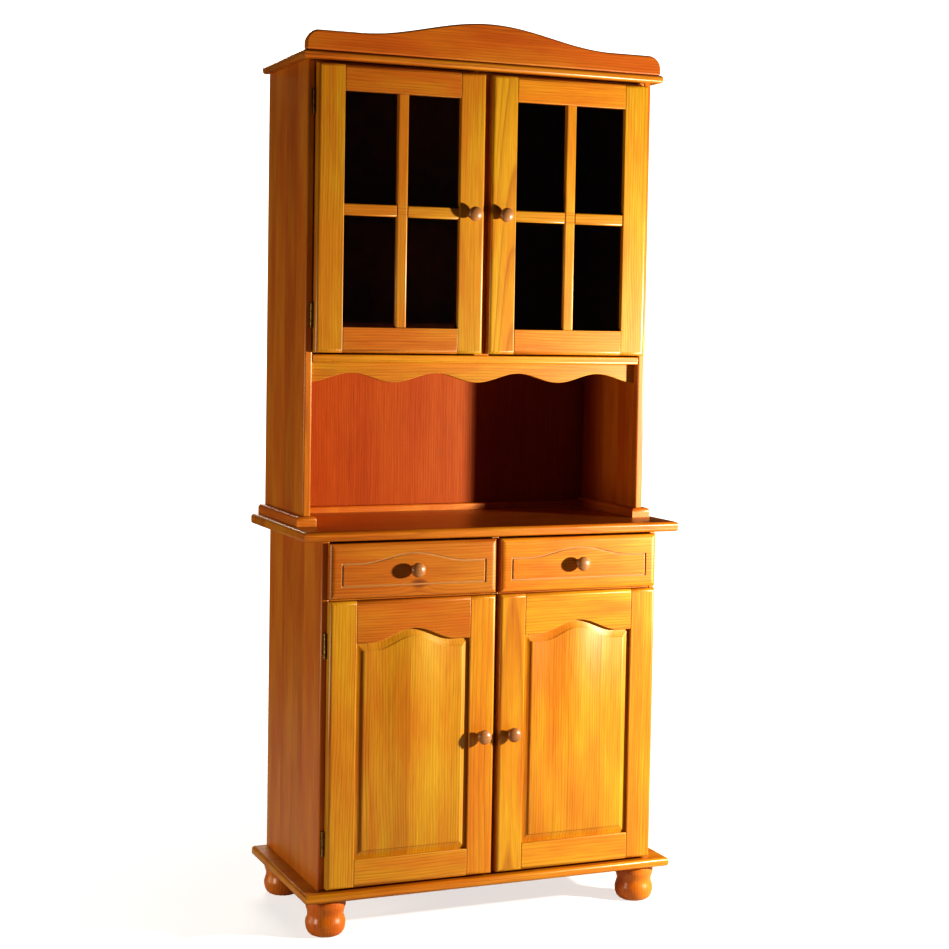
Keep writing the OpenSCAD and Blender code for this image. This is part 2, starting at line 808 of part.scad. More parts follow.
// Upright and cross bar, halved over each other where they meet.
module hutch_bars() {
    mid_y = (bar_front_y + bar_back_y) / 2;
    half = bar_w / 2;
    color(pine) {
        difference() {
            rise(glaze_z0, glaze_z1)
                front_round(-glaze_mid_x - half, -glaze_mid_x + half, bar_front_y, bar_back_y, bar_r);
            span([-glaze_mid_x - half - cut, mid_y - seat_gap / 2, glaze_mid_z - half - seat_gap / 2],
                 [-glaze_mid_x + half + cut, bar_back_y + cut, glaze_mid_z + half + seat_gap / 2]);
        }
        difference() {
            along_x(-glaze_x1, -glaze_x0) {
                round_rect([bar_front_y, glaze_mid_z - half], [bar_back_y, glaze_mid_z + half], bar_r);
                translate([bar_front_y + bar_r, glaze_mid_z - half])
                    square([bar_back_y - bar_front_y - bar_r, bar_w]);
            }
            span([-glaze_mid_x - half - seat_gap / 2, bar_front_y - cut, glaze_mid_z - half - cut],
                 [-glaze_mid_x + half + seat_gap / 2, mid_y + seat_gap / 2, glaze_mid_z + half + cut]);
        }
    }
}

module hutch_glass() {
    color(glass_tint)
        span([-glaze_x1 - glass_lap, glass_y - glass_t, glaze_z0 - glass_lap],
             [-glaze_x0 + glass_lap, glass_y, glaze_z1 + glass_lap]);
}

module upper_left_stiles() {
    hutch_stiles();
}

module upper_left_rails() {
    hutch_rails();
}

module upper_left_bars() {
    hutch_bars();
}

module upper_left_glass() {
    hutch_glass();
}

module upper_left_knob() {
    knob(hutch_knob_x, y_hutch_front, glaze_mid_z);
}

module upper_left_hinges() {
    color(brass) at_hutch_hinges() door_leaf();
}

module upper_right_stiles() {
    mirror([1, 0, 0]) hutch_stiles();
}

module upper_right_rails() {
    mirror([1, 0, 0]) hutch_rails();
}

module upper_right_bars() {
    mirror([1, 0, 0]) hutch_bars();
}

module upper_right_glass() {
    mirror([1, 0, 0]) hutch_glass();
}

module upper_right_knob() {
    knob(-hutch_knob_x, y_hutch_front, glaze_mid_z);
}

module upper_right_hinges() {
    color(brass) mirror([1, 0, 0]) at_hutch_hinges() door_leaf();
}

// ---------- Buffet doors ----------

open_x0 = front_in_x + stile_w;
open_x1 = front_out_x - stile_w;
open_mid_x = (open_x0 + open_x1) / 2;
open_half = (open_x1 - open_x0) / 2;
open_z0 = z_door + lower_rail_w;
shoulder_z = z_door_top - arch_rail_w;
knob_x = -front_in_x - stile_w / 2;

// Arched outline of the door opening, grown by d all round; left door, X and Z.
function arch_line(d) = [for (i = [-arch_steps : arch_steps])
    [-open_mid_x + (open_half + d) * i / arch_steps,
     shoulder_z + d + arch_rise * bump(open_half * i / arch_steps, arch_half)]];
function opening(d) = concat(
    [[-open_mid_x + open_half + d, open_z0 - d], [-open_mid_x - open_half - d, open_z0 - d]],
    arch_line(d));

module panel_groove() {
    along_y(panel_edge_y - seat_gap, panel_back_y + seat_gap) polygon(opening(groove_d));
}

module arch_tenons(slack) {
    tenons(open_x0, open_x1, y_front, shoulder_z + 8, z_door_top, slack);
}

module foot_tenons(slack) {
    tenons(open_x0, open_x1, y_front, z_door, open_z0, slack);
}

module buffet_stile(x0, x1) {
    difference() {
        stile(x0, x1, front_in_x, front_out_x, y_front, z_door, z_door_top);
        panel_groove();
        arch_tenons(seat_gap);
        foot_tenons(seat_gap);
        knob_hole(knob_x, y_front, lower_knob_z);
    }
}

module hinge_stile() {
    color(pine) buffet_stile(open_x1, front_out_x);
}

module lock_stile() {
    color(pine) buffet_stile(front_in_x, open_x0);
}

// Slab that keeps a cut clear of a rail's tenons.
module between_stiles() {
    intersection() {
        children();
        span([-open_x1 - cut / 2, y_front - cut, z_door - cut],
             [-open_x0 + cut / 2, y_front_back + cut, z_door_top + cut]);
    }
}

module top_rail() {
    color(pine) difference() {
        union() {
            rail_body(open_x0, open_x1, front_in_x, front_out_x, y_front,
                      shoulder_z, z_door_top, z_door, z_door_top);
            arch_tenons(0);
        }
        between_stiles() panel_groove();
        along_y(y_front - cut, y_front_back + cut) polygon(opening(0));
    }
}

module bottom_rail() {
    color(pine) difference() {
        union() {
            rail_body(open_x0, open_x1, front_in_x, front_out_x, y_front,
                      z_door, open_z0, z_door, z_door_top);
            foot_tenons(0);
        }
        between_stiles() panel_groove();
    }
}

// Outline of the raised panel grown by d: its foot from left to right, then its arch back.
function panel_outline(d) = concat(
    [for (i = [-panel_steps : panel_steps])
        [-open_mid_x + (open_half + d) * i / panel_steps, open_z0 - d]],
    [for (i = [panel_steps : -1 : -panel_steps])
        [-open_mid_x + (open_half + d) * i / panel_steps,
         shoulder_z + d + arch_rise * bump(open_half * i / panel_steps, arch_half)]]);

// Raised panel: a tongue in the groove, a sloping bevel and a flat arched field.
module raised_panel() {
    rings = [[panel_tongue, panel_back_y], [panel_tongue, panel_edge_y],
             [-panel_play, panel_edge_y], [-bevel_w, field_y]];
    points = [for (r = rings) for (p = panel_outline(r[0])) [p[0], r[1], p[1]]];
    n = len(points) / len(rings);
    last = (len(rings) - 1) * n;
    walls = [for (k = [0 : len(rings) - 2], i = [0 : n - 1])
        let (a = k * n + i, b = k * n + (i + 1) % n)
        each [[a, b + n, b], [a, a + n, b + n]]];
    back = [for (i = [0 : n / 2 - 2])
        each [[i, i + 1, n - 1 - i], [i + 1, n - 2 - i, n - 1 - i]]];
    front = [for (t = back) [last + t[2], last + t[1], last + t[0]]];
    color(pine_deep) polyhedron(points, concat(back, walls, front));
}

module lower_left_hinge_stile() {
    hinge_stile();
}

module lower_left_lock_stile() {
    lock_stile();
}

module lower_left_top_rail() {
    top_rail();
}

module lower_left_bottom_rail() {
    bottom_rail();
}

module lower_left_panel() {
    raised_panel();
}

module lower_left_knob() {
    knob(knob_x, y_front, lower_knob_z);
}

module lower_left_hinges() {
    color(brass) at_buffet_hinges() door_leaf();
}

module lower_right_hinge_stile() {
    mirror([1, 0, 0]) hinge_stile();
}

module lower_right_lock_stile() {
    mirror([1, 0, 0]) lock_stile();
}

module lower_right_top_rail() {
    mirror([1, 0, 0]) top_rail();
}

module lower_right_bottom_rail() {
    mirror([1, 0, 0]) bottom_rail();
}

module lower_right_panel() {
    mirror([1, 0, 0]) raised_panel();
}

module lower_right_knob() {
    knob(-knob_x, y_front, lower_knob_z);
}

module lower_right_hinges() {
    color(brass) mirror([1, 0, 0]) at_buffet_hinges() door_leaf();
}

// ---------- Drawers ----------

drawer_mid_x = (front_in_x + front_out_x) / 2;
drawer_mid_z = z_drawer + drawer_front_h / 2;

// Moulded edge of a drawer front, as a half outline from the face to the side.
function ovolo(edge, face, s) = [for (i = [0 : 8])
    [edge - s * drawer_edge_w * (1 - sin(90 * i / 8)),
     face + drawer_edge_d * (1 - cos(90 * i / 8))]];
function moulded(low, high) = concat(
    [for (p = ovolo(low, y_front, -1)) p],
    [[low, y_front_back], [high, y_front_back]],
    [for (i = [8 : -1 : 0]) ovolo(high, y_front, 1)[i]]);

// The routed line's outline, shrunk by d; X and Z of the left drawer.
function line_shape(d) = concat(
    [[-front_in_x - groove_inset - d, z_drawer + groove_inset + d],
     [-front_out_x + groove_inset + d, z_drawer + groove_inset + d]],
    [for (i = [-arch_steps : arch_steps])
        let (x = (front_w / 2 - groove_inset - d) * i / arch_steps)
        [-drawer_mid_x + x, z_drawer_top - line_top_in - d + line_rise * bump(x, line_half)]]);

module drawer_front() {
    color(pine) difference() {
        intersection() {
            rise(z_drawer, z_drawer_top) polygon(moulded(-front_out_x, -front_in_x));
            along_x(-front_out_x, -front_in_x)
                polygon([for (p = moulded(z_drawer, z_drawer_top)) [p[1], p[0]]]);
        }
        along_y(y_front - cut, y_front + line_depth) difference() {
            polygon(line_shape(0));
            polygon(line_shape(groove_w));
        }
        span([-box_out_x + drawer_board_t - bottom_groove, y_front_back - bottom_groove, bottom_z],
             [-box_in_x - drawer_board_t + bottom_groove, y_front_back + cut,
              bottom_z + drawer_bottom_t + seat_gap]);
        knob_hole(-drawer_mid_x, y_front, drawer_mid_z);
    }
}

module drawer_sides() {
    color(pine_pale) difference() {
        for (x = [-box_out_x, -box_in_x - drawer_board_t])
            span([x, y_front_back, box_z],
                 [x + drawer_board_t, y_front_back + drawer_len, box_z + drawer_side_h]);
        span([-box_out_x + drawer_board_t - bottom_groove, y_front_back - cut, bottom_z],
             [-box_in_x - drawer_board_t + bottom_groove, y_front_back + drawer_len + cut,
              bottom_z + drawer_bottom_t + seat_gap]);
    }
}

module drawer_back() {
    y1 = y_front_back + drawer_len;
    color(pine_pale)
        span([-box_out_x + drawer_board_t, y1 - drawer_board_t, bottom_z + drawer_bottom_t + seat_gap],
             [-box_in_x - drawer_board_t, y1, box_z + drawer_side_h]);
}

module drawer_bottom() {
    lap = bottom_groove - seat_gap;
    color(sheet)
        span([-box_out_x + drawer_board_t - lap, y_front_back - lap, bottom_z],
             [-box_in_x - drawer_board_t + lap, y_front_back + drawer_len,
              bottom_z + drawer_bottom_t]);
}

module left_drawer_front() {
    drawer_front();
}

module left_drawer_sides() {
    drawer_sides();
}

module left_drawer_back() {
    drawer_back();
}

module left_drawer_bottom() {
    drawer_bottom();
}

module left_drawer_knob() {
    knob(-drawer_mid_x, y_front, drawer_mid_z);
}

module right_drawer_front() {
    mirror([1, 0, 0]) drawer_front();
}

module right_drawer_sides() {
    mirror([1, 0, 0]) drawer_sides();
}

module right_drawer_back() {
    mirror([1, 0, 0]) drawer_back();
}

module right_drawer_bottom() {
    mirror([1, 0, 0]) drawer_bottom();
}

module right_drawer_knob() {
    knob(drawer_mid_x, y_front, drawer_mid_z);
}

base_board();
bun_feet();
lower_left_side();
lower_right_side();
lower_back_panel();
lower_divider();
drawer_rails();
drawer_runners();
lower_shelves();
shelf_pins();
worktop();
hutch_base_rails();
upper_left_side();
upper_right_side();
upper_back_panel();
ledge_board();
apron();
upper_shelf();
upper_post();
hutch_top_board();
cornice();
crest();
hinge_fixed_leaves();
door_catches();
upper_left_stiles();
upper_left_rails();
upper_left_bars();
upper_left_glass();
upper_left_knob();
upper_left_hinges();
upper_right_stiles();
upper_right_rails();
upper_right_bars();
upper_right_glass();
upper_right_knob();
upper_right_hinges();
lower_left_hinge_stile();
lower_left_lock_stile();
lower_left_top_rail();
lower_left_bottom_rail();
lower_left_panel();
lower_left_knob();
lower_left_hinges();
lower_right_hinge_stile();
lower_right_lock_stile();
lower_right_top_rail();
lower_right_bottom_rail();
lower_right_panel();
lower_right_knob();
lower_right_hinges();
left_drawer_front();
left_drawer_sides();
left_drawer_back();
left_drawer_bottom();
left_drawer_knob();
right_drawer_front();
right_drawer_sides();
right_drawer_back();
right_drawer_bottom();
right_drawer_knob();
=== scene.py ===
"""Looks of the pine cabinet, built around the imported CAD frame."""
import math
import random

import bpy
from mathutils import Matrix, Vector


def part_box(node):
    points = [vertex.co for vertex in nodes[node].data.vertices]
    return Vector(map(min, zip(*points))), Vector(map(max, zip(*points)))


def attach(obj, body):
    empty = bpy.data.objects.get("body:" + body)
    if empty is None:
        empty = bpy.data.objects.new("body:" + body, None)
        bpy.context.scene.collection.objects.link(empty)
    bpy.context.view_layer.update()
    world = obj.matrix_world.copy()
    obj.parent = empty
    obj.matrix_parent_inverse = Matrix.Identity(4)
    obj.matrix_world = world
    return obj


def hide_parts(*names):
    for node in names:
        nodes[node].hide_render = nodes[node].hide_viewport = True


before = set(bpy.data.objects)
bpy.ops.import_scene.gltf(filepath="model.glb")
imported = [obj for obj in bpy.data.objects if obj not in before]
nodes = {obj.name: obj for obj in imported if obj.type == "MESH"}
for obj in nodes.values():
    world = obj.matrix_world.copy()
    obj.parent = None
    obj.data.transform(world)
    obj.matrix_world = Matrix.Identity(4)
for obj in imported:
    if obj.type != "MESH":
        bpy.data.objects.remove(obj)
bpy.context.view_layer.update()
MM = 0.001

# ---------------------------------------------------------------- camera
CAM_PLACE = Vector((-1.6259, -3.8277, 1.3093))
CAM_YAW, CAM_PITCH, CAM_ROLL = (math.radians(a) for a in (22.6095, -3.0026, 0.9408))
SENSOR = 36.0
CAM_LENS = 1.93430 * SENSOR
CAM_SHIFT = (0.01996, -0.05532)


def add_camera():
    ahead = Vector((math.sin(CAM_YAW) * math.cos(CAM_PITCH),
                    math.cos(CAM_YAW) * math.cos(CAM_PITCH), math.sin(CAM_PITCH)))
    level = Vector((math.cos(CAM_YAW), -math.sin(CAM_YAW), 0))
    upward = level.cross(ahead)
    right = math.cos(CAM_ROLL) * level + math.sin(CAM_ROLL) * upward
    top = -math.sin(CAM_ROLL) * level + math.cos(CAM_ROLL) * upward
    data = bpy.data.cameras.new("camera")
    data.sensor_width = SENSOR
    data.lens = CAM_LENS
    data.shift_x, data.shift_y = CAM_SHIFT
    data.clip_end = 100
    camera = bpy.data.objects.new("camera", data)
    turn = Matrix((right, top, -ahead)).transposed().to_4x4()
    camera.matrix_world = Matrix.Translation(CAM_PLACE) @ turn
    bpy.context.collection.objects.link(camera)
    bpy.context.scene.camera = camera


# ---------------------------------------------------------------- light
def add_area(name, place, target, size, power, colour):
    data = bpy.data.lights.new(name, "AREA")
    data.shape = "DISK"
    data.size = size
    data.energy = power
    data.color = colour
    lamp = bpy.data.objects.new(name, data)
    lamp.location = place
    lamp.rotation_euler = (Vector(target) - Vector(place)).to_track_quat("-Z", "Y").to_euler()
    bpy.context.collection.objects.link(lamp)


# Name, place in metres, width of the disc in metres, power in watts, colour.
LAMPS = (
    ("key", (1.90, -1.42, 0.98), 0.14, 96, (1.0, 0.96, 0.86)),
    ("left_fill", (-2.7, 1.0, 0.4), 1.2, 11, (1.0, 0.95, 0.80)),
    ("low_left_fill", (-3.2, -0.75, 0.8), 0.5, 27, (1.0, 0.92, 0.78)),
    ("back_fill", (0.3, 3.0, 2.6), 1.8, 50, (1.0, 0.95, 0.9)),
)
LAMP_TARGET = (0, 0, 1.0)
WORLD_GLOW = 0.03


def add_lights():
    for name, place, size, power, colour in LAMPS:
        add_area(name, place, LAMP_TARGET, size, power, colour)
    world = bpy.data.worlds.new("studio")
    world.use_nodes = True
    net = Net(world.node_tree)
    net.clear()
    seen = net.node("ShaderNodeBackground", {"Color": (1, 1, 1, 1), "Strength": 1.0})
    dim = net.node("ShaderNodeBackground", {"Color": (1.0, 0.93, 0.85, 1), "Strength": WORLD_GLOW})
    # White where it is seen directly or straight through a pane, and dim for all other rays.
    path = net.node("ShaderNodeLightPath").outputs
    bounces = net.math("ADD", path["Diffuse Depth"], path["Glossy Depth"])
    straight = net.math("LESS_THAN", bounces, 0.5)
    through_pane = net.math("MULTIPLY", path["Is Transmission Ray"], straight)
    direct = net.math("MAXIMUM", path["Is Camera Ray"], through_pane)
    mix = net.node("ShaderNodeMixShader")
    net.link(direct, mix.inputs[0])
    net.link(dim.outputs[0], mix.inputs[1])
    net.link(seen.outputs[0], mix.inputs[2])
    out = net.node("ShaderNodeOutputWorld")
    net.link(mix.outputs[0], out.inputs["Surface"])
    bpy.context.scene.world = world


# ---------------------------------------------------------------- shader helpers
class Net:
    """Short names for adding nodes and links to one tree."""

    def __init__(self, tree):
        self.tree = tree

    def clear(self):
        self.tree.nodes.clear()

    def node(self, kind, values=None, **settings):
        made = self.tree.nodes.new(kind)
        for key, value in settings.items():
            setattr(made, key, value)
        for key, value in (values or {}).items():
            self.feed(made.inputs[key], value)
        return made

    def link(self, source, target):
        self.tree.links.new(source, target)

    def feed(self, socket, value):
        if isinstance(value, bpy.types.NodeSocket):
            self.link(value, socket)
        else:
            socket.default_value = value

    def math(self, operation, *terms, clamp=False):
        made = self.node("ShaderNodeMath", operation=operation, use_clamp=clamp)
        for socket, term in zip(made.inputs, terms):
            self.feed(socket, term)
        return made.outputs[0]

    def join(self, x, y, z):
        return self.node("ShaderNodeCombineXYZ", {0: x, 1: y, 2: z}).outputs[0]

    def split(self, vector):
        return self.node("ShaderNodeSeparateXYZ", {0: vector}).outputs

    def noise(self, vector, detail=2.0, roughness=0.5):
        return self.node("ShaderNodeTexNoise", {
            "Vector": vector, "Scale": 1.0, "Detail": detail,
            "Roughness": roughness}).outputs["Fac"]

    def ramp(self, value, stops, smooth=False):
        made = self.node("ShaderNodeValToRGB", {0: value})
        band = made.color_ramp
        band.interpolation = "EASE" if smooth else "LINEAR"
        while len(band.elements) < len(stops):
            band.elements.new(0.5)
        for element, (place, colour) in zip(band.elements, stops):
            element.position = place
            element.color = (*colour, 1) if len(colour) == 3 else colour
        return made.outputs["Color"]

    def blend(self, factor, first, second, mode="MIX"):
        made = self.node("ShaderNodeMix", data_type="RGBA", blend_type=mode)
        self.feed(made.inputs[0], factor)
        self.feed(made.inputs[6], first)
        self.feed(made.inputs[7], second)
        return made.outputs[2]

    def span(self, value, low, high, out_low, out_high):
        return self.node("ShaderNodeMapRange", {
            "Value": value, "From Min": low, "From Max": high,
            "To Min": out_low, "To Max": out_high}).outputs["Result"]


def new_material(name):
    made = bpy.data.materials.new(name)
    made.use_nodes = True
    net = Net(made.node_tree)
    net.clear()
    shader = net.node("ShaderNodeBsdfPrincipled")
    out = net.node("ShaderNodeOutputMaterial")
    net.link(shader.outputs[0], out.inputs["Surface"])
    return made, net, shader


def edge_mask(net, radius, samples=4):
    """Where the surface turns sharply: 0 on flats, 1 on edges."""
    soft = net.node("ShaderNodeBevel", {"Radius": radius}, samples=samples).outputs[0]
    plain = net.node("ShaderNodeNewGeometry").outputs["Normal"]
    dot = net.node("ShaderNodeVectorMath", {0: soft, 1: plain}, operation="DOT_PRODUCT")
    return net.span(dot.outputs["Value"], 0.995, 0.80, 0.0, 1.0), soft


# ---------------------------------------------------------------- pine
RING_PITCH = 6.5 * MM
WANDER = 16 * MM
# The pith lies this far under the board's middle, plus a random share of the spread.
PITH_NEAR = 35 * MM
PITH_SPREAD = 60 * MM
PITH_SIDEWAYS = 160 * MM
# Cells of the knot pattern per metre, and the share of cells that stay empty.
KNOT_ALONG, KNOT_ACROSS = 3.1, 6.0
KNOT_FREE = 0.93


def pine_group():
    """Figure of sawn pine: growth rings, fibres, knots and strips glued side by side.

    Along is measured with the grain, Across over the board's width and Deep through it."""
    tree = bpy.data.node_groups.new("pine_figure", "ShaderNodeTree")
    face = tree.interface
    for name in ("Along", "Across", "Deep", "Seed", "Strip"):
        face.new_socket(name, in_out="INPUT", socket_type="NodeSocketFloat")
    for name in ("Figure", "Tone", "Fibre", "Knot", "Stain"):
        face.new_socket(name, in_out="OUTPUT", socket_type="NodeSocketFloat")
    net = Net(tree)
    inp = net.node("NodeGroupInput").outputs
    out = net.node("NodeGroupOutput")
    m = net.math
    seed = inp["Seed"]
    # One random triple for each glued strip.
    shifted = m("ADD", inp["Across"], m("MULTIPLY", seed, 0.137))
    strip = m("FLOOR", m("DIVIDE", shifted, inp["Strip"]))
    dice = net.node("ShaderNodeTexWhiteNoise", {
        "Vector": net.join(strip, seed, 3.7)}, noise_dimensions="3D").outputs["Color"]
    red, green, blue = net.node("ShaderNodeSeparateColor", {0: dice}).outputs
    along = m("ADD", inp["Along"], m("MULTIPLY", red, 7.0))
    across = m("ADD", inp["Across"], m("MULTIPLY", green, 0.9))
    deep = m("ADD", inp["Deep"], m("MULTIPLY", blue, 0.5))
    # Knots: one flat cell pattern, most cells empty.
    cell = net.node("ShaderNodeTexVoronoi", {
        "Vector": net.join(m("MULTIPLY", along, KNOT_ALONG), m("MULTIPLY", across, KNOT_ACROSS), seed),
        "Scale": 1.0, "Randomness": 0.8}, voronoi_dimensions="3D", feature="F1")
    pick = net.node("ShaderNodeSeparateColor", {0: cell.outputs["Color"]}).outputs[0]
    chosen = m("GREATER_THAN", pick, KNOT_FREE)
    near = net.span(cell.outputs["Distance"], 0.02, 0.30, 1.0, 0.0)
    pull = m("MULTIPLY", m("POWER", near, 3.0), chosen)
    core = m("MULTIPLY", net.span(cell.outputs["Distance"], 0.035, 0.075, 1.0, 0.0), chosen)
    # Rings about a pith that lies off the board and leans along the grain.
    slow = net.join(m("MULTIPLY", along, 1.7), m("MULTIPLY", across, 5.0),
                    m("MULTIPLY", deep, 5.0))
    bend = m("MULTIPLY", m("SUBTRACT", net.noise(slow, 2.0), 0.5), WANDER * 2)
    lean = m("MULTIPLY", m("SUBTRACT", green, 0.5), m("MULTIPLY", inp["Along"], 0.07))
    side = m("ADD", m("ADD", inp["Across"], bend), m("MULTIPLY", m("SUBTRACT", red, 0.5), PITH_SIDEWAYS))
    side = m("ADD", side, m("MULTIPLY", strip, m("MULTIPLY", inp["Strip"], -1.0)))
    under = m("ADD", m("ADD", inp["Deep"], lean), m("ADD", PITH_NEAR, m("MULTIPLY", blue, PITH_SPREAD)))
    reach = m("SQRT", m("ADD", m("MULTIPLY", side, side), m("MULTIPLY", under, under)))
    reach = m("ADD", reach, m("MULTIPLY", pull, 0.02))
    count = m("DIVIDE", reach, RING_PITCH)
    uneven = net.noise(net.join(m("MULTIPLY", count, 0.45), red, green), 1.0)
    count = m("ADD", count, m("MULTIPLY", uneven, 1.6))
    phase = m("FRACT", count)
    ring = net.ramp(phase, [(0.0, (0.12,) * 3), (0.35, (0.06,) * 3), (0.72, (0.42,) * 3),
                            (0.9, (1.0,) * 3), (1.0, (0.12,) * 3)])
    strength = net.noise(net.join(m("MULTIPLY", along, 2.0), m("MULTIPLY", across, 14.0), seed))
    ring = m("MULTIPLY", ring, net.span(strength, 0.3, 0.7, 0.45, 1.0))
    # Fibres and slow patches of stain.
    fine = net.noise(net.join(m("MULTIPLY", along, 14.0), m("MULTIPLY", across, 1400.0),
                              m("MULTIPLY", deep, 1400.0)), 2.0, 0.6)
    streak = net.noise(net.join(m("MULTIPLY", along, 2.5), m("MULTIPLY", across, 110.0),
                                m("MULTIPLY", deep, 110.0)), 3.0, 0.6)
    patch = net.noise(net.join(m("MULTIPLY", along, 2.3), m("MULTIPLY", across, 7.0),
                               m("MULTIPLY", deep, 7.0)), 2.0)
    tone = m("ADD", m("MULTIPLY", m("SUBTRACT", blue, 0.5), 0.34),
             m("MULTIPLY", m("SUBTRACT", patch, 0.5), 0.55))
    tone = m("ADD", tone, m("MULTIPLY", m("SUBTRACT", streak, 0.5), 0.42))
    net.link(m("ADD", m("MULTIPLY", ring, 0.62), m("MULTIPLY", core, 0.4)), out.inputs["Figure"])
    net.link(tone, out.inputs["Tone"])
    net.link(fine, out.inputs["Fibre"])
    net.link(core, out.inputs["Knot"])
    cloud = net.noise(net.join(m("MULTIPLY", along, 3.3), m("MULTIPLY", across, 16.0),
                               m("ADD", m("MULTIPLY", deep, 16.0), 5.0)), 3.0, 0.55)
    net.link(m("ADD", cloud, m("MULTIPLY", m("SUBTRACT", green, 0.5), 0.16)), out.inputs["Stain"])
    return tree


GRAIN_ORDER = {"X": (0, 2, 1), "Y": (1, 2, 0), "Z": (2, 0, 1)}
PINE_LOOKS = {
    "front": ((0.75, 0.395, 0.021), (0.70, 0.268, 0.015), (0.42, 0.115, 0.006)),
    "deep": ((0.84, 0.330, 0.022), (0.74, 0.210, 0.016), (0.46, 0.100, 0.006)),
    "carcass": ((0.78, 0.320, 0.030), (0.68, 0.210, 0.020), (0.42, 0.100, 0.009)),
    "sheet": ((0.68, 0.200, 0.018), (0.62, 0.155, 0.014), (0.42, 0.085, 0.007)),
    "inside": ((0.66, 0.340, 0.080), (0.58, 0.270, 0.060), (0.38, 0.140, 0.027)),
    # A lighter look for the routed line of the drawer fronts: a painted highlight where light would
    # catch the groove.
    "line_highlight": ((0.74, 0.430, 0.190), (0.68, 0.350, 0.145), (0.52, 0.250, 0.090)),
    "knob": ((0.55, 0.290, 0.118), (0.50, 0.235, 0.090), (0.38, 0.168, 0.056)),
}


# Factors on the red and green of a board's look. They were set by comparing the board's colour in a
# render with the photographed cabinet, so besides the board's own colour they paint light and shade on
# each board: darker on boards that lie in less light, such as the crest, cornice and back panels, and
# lighter on boards near the key light, such as the right-hand stiles.
TINTS_AND_PAINTED_LIGHT = {
    "upper_left_stiles": (0.96, 1.10), "upper_right_stiles": (0.98, 1.08), "apron": (0.97, 1.06),
    "crest": (0.93, 0.68), "cornice": (0.88, 0.76), "upper_back_panel": (0.78, 0.66),
    "lower_back_panel": (0.78, 0.66), "left_drawer_front": (0.88, 0.70),
    "right_drawer_front": (1.08, 1.0), "raised_panel_left": (0.96, 1.06),
    "raised_panel_right": (1.04, 1.06), "lower_left_hinge_stile": (0.96, 1.0),
    "lower_right_lock_stile": (1.0, 1.04), "lower_right_hinge_stile": (1.10, 1.18),
    "lower_left_bottom_rail": (0.96, 1.0), "lower_right_bottom_rail": (1.02, 1.04),
    "lower_left_top_rail": (0.93, 0.76), "lower_right_top_rail": (1.1, 1.08),
    "upper_left_rails": (0.91, 0.80), "upper_right_rails": (1.03, 0.87),
    "upper_left_bars": (0.88, 0.92), "upper_right_bars": (0.98, 1.05), "worktop": (0.95, 0.86),
}


# Scales a look's colour by the board's factors, which paint light and shade on that board.
def tint_and_paint_light(name, colour):
    red, green = TINTS_AND_PAINTED_LIGHT.get(name, (1, 1))
    return (min(colour[0] * red, 0.92), colour[1] * green, colour[2], 1)


def pine(name, grain, look="front", strip=3.0, width_axis=None, seed=1.0, band=None):
    """Lacquered pine. strip is the width of the glued strips, over width_axis.

    band = (height, half height) marks a cross bar whose grain runs along X."""
    made, net, shader = new_material("pine_" + name)
    m = net.math
    place = net.node("ShaderNodeTexCoord").outputs["Object"]
    axes = list(net.split(place))
    order = list(GRAIN_ORDER[grain])
    if width_axis is not None and "XYZ".index(width_axis) != order[1]:
        order[1], order[2] = order[2], order[1]
    coords = [axes[i] for i in order]
    if band:
        height, half = band
        crossing = m("COMPARE", axes[2], height, half)
        swapped = [axes[i] for i in GRAIN_ORDER["X"]]
        coords = [m("ADD", m("MULTIPLY", a, m("SUBTRACT", 1.0, crossing)),
                    m("MULTIPLY", b, crossing)) for a, b in zip(coords, swapped)]
    group = net.node("ShaderNodeGroup", node_tree=PINE)
    for key, value in zip(("Along", "Across", "Deep", "Seed", "Strip"), (*coords, seed, strip)):
        net.feed(group.inputs[key], value)
    figure, tone, fibre, knot, stain = group.outputs
    # The look's colours carry each board's factors, painted light and shade among them.
    yellow, orange, dark = (tint_and_paint_light(name, c) for c in PINE_LOOKS[look])
    colour = net.blend(net.span(stain, 0.36, 0.62, 0.0, 1.0), yellow, orange)
    colour = net.blend(figure, colour, dark)
    colour = net.blend(1.0, colour, net.ramp(
        net.span(tone, -0.5, 0.5, 0.0, 1.0),
        [(0.0, (0.62, 0.50, 0.42)), (0.5, (0.90, 0.87, 0.84)), (1.0, (1.0, 1.0, 1.0))]), "MULTIPLY")
    colour = net.blend(1.0, colour, net.ramp(
        fibre, [(0.3, (0.76, 0.70, 0.66)), (0.62, (1, 1, 1))]), "MULTIPLY")
    colour = net.blend(m("MULTIPLY", knot, 0.8), colour, (0.16, 0.045, 0.008, 1))
    edge_wear_and_highlight, soft = edge_mask(net, 2.5 * MM)
    # Edges lightened towards cream: partly wear, partly a painted highlight where rounded edges catch
    # the light.
    colour = net.blend(m("MULTIPLY", edge_wear_and_highlight, 0.42), colour, (0.95, 0.56, 0.17, 1))
    net.link(colour, shader.inputs["Base Color"])
    rough = m("ADD", 0.30, m("MULTIPLY", fibre, 0.14))
    net.link(m("ADD", rough, m("MULTIPLY", edge_wear_and_highlight, 0.12)), shader.inputs["Roughness"])
    height = m("ADD", m("MULTIPLY", fibre, 0.5), m("MULTIPLY", figure, -0.7))
    bump = net.node("ShaderNodeBump", {"Height": height, "Normal": soft,
                                       "Strength": 0.22, "Distance": 0.35 * MM})
    net.link(bump.outputs[0], shader.inputs["Normal"])
    shader.inputs["IOR"].default_value = 1.48
    shader.inputs["Specular IOR Level"].default_value = 0.2 if look == "sheet" else 0.45
    shader.inputs["Coat Weight"].default_value = 0.05 if look == "sheet" else 0.3
    shader.inputs["Coat Roughness"].default_value = 0.26
    return made


